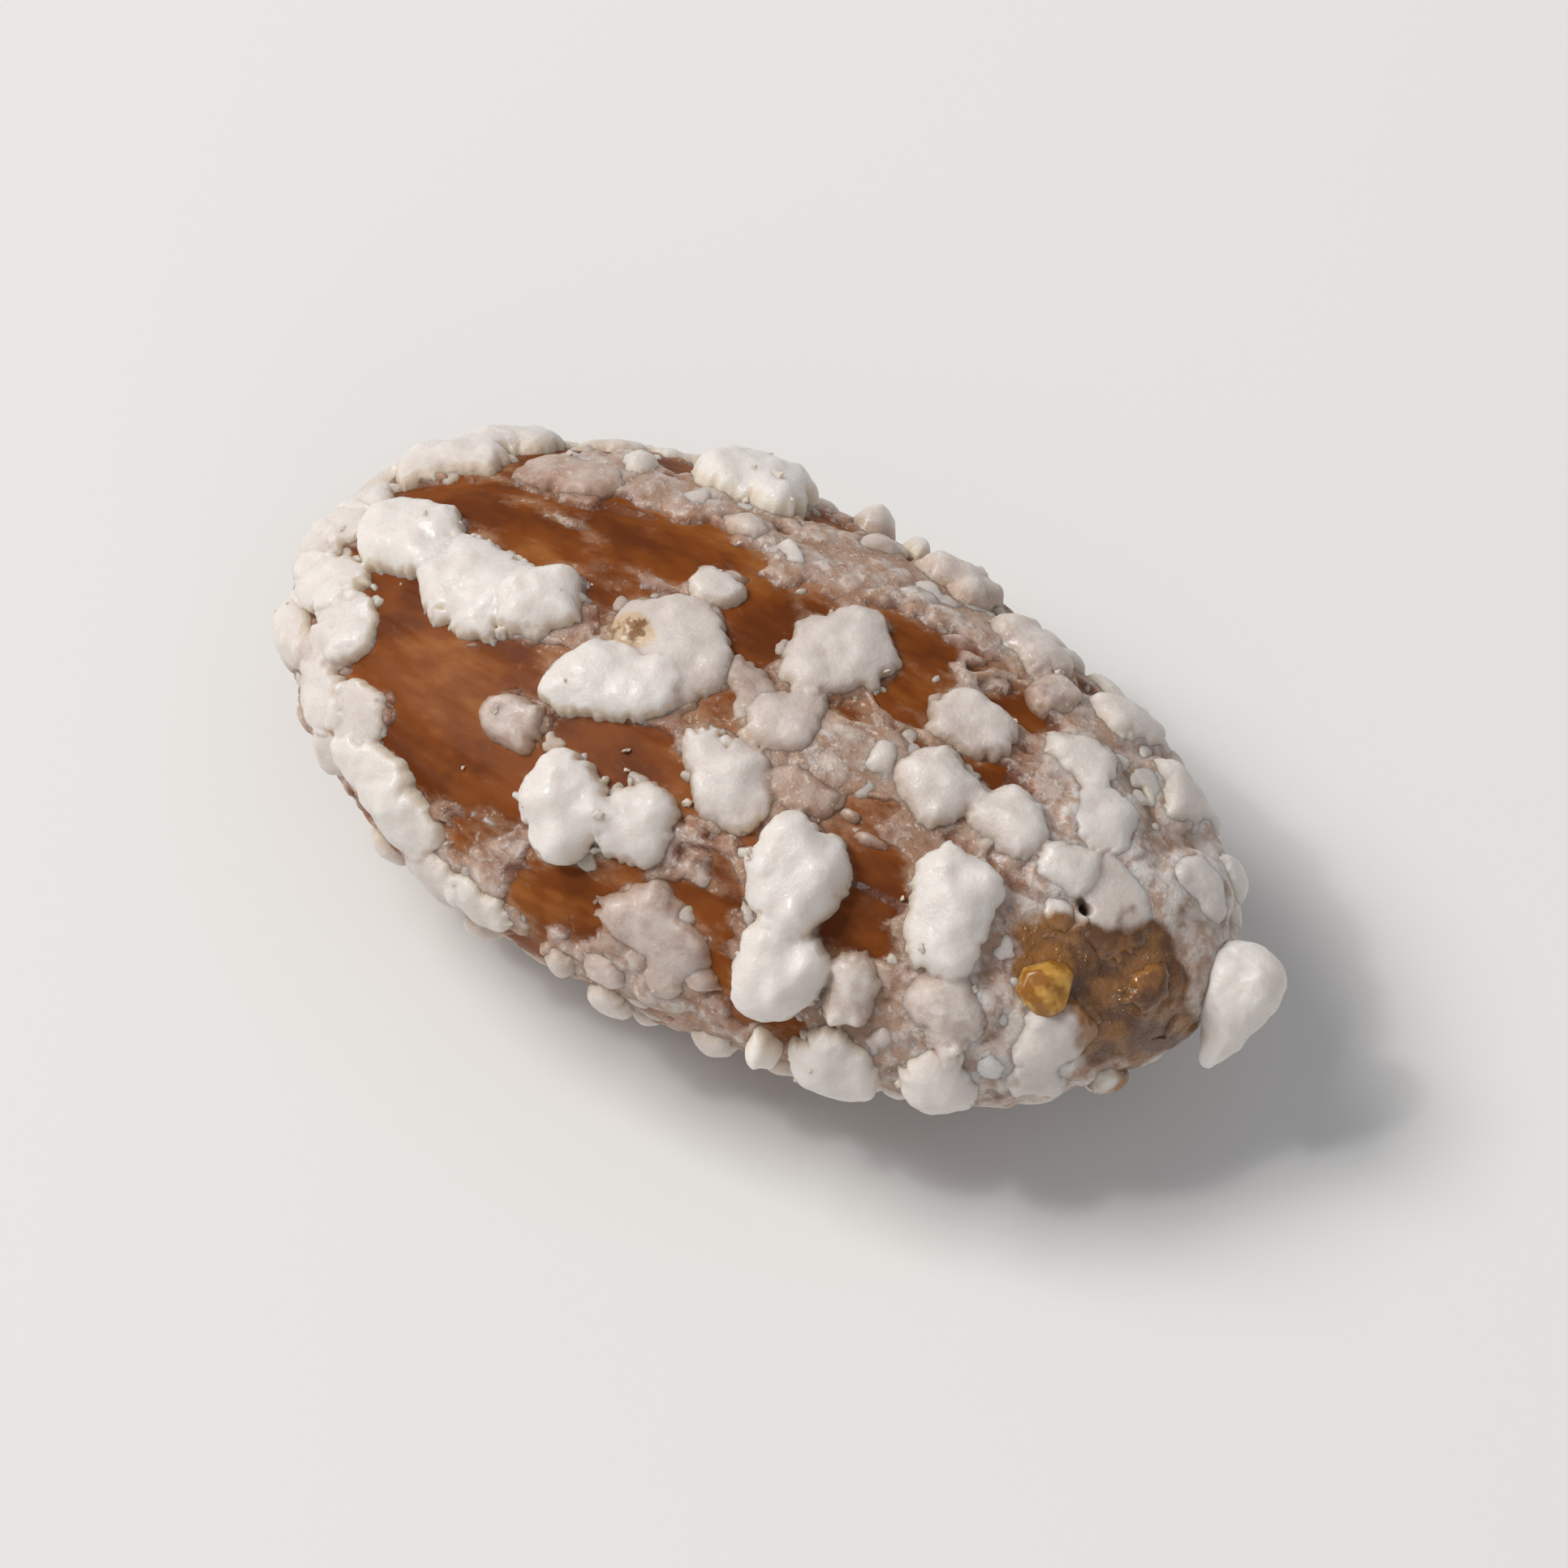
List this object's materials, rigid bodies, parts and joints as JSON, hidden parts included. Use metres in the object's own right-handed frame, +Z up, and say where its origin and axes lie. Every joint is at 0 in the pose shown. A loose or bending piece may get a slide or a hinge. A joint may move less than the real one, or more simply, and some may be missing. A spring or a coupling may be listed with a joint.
{
  "type": "candied roasted almond",
  "caption": "Roasted almond kernel in its brown skin under a rough crust of white crystallised sugar lumps, lying on its broad side.",
  "frame": {"origin": "on the surface that the almond lies on, under the middle of its outline", "axes": "+Z up, out of the broad side that shows; +X along the almond's length towards its tip; +Y across it"},
  "size_m": [0.0276, 0.0151, 0.0097],
  "materials": {
    "sugar_crust": "white crystallised sugar, rough with small glints, grey where it is thin",
    "roasted_skin": "reddish brown roasted almond skin with fine lengthwise ridges, satin"
  },
  "bodies": {
    "root": {"candied_almond": "sugar_crust"}
  },
  "joints": []
}
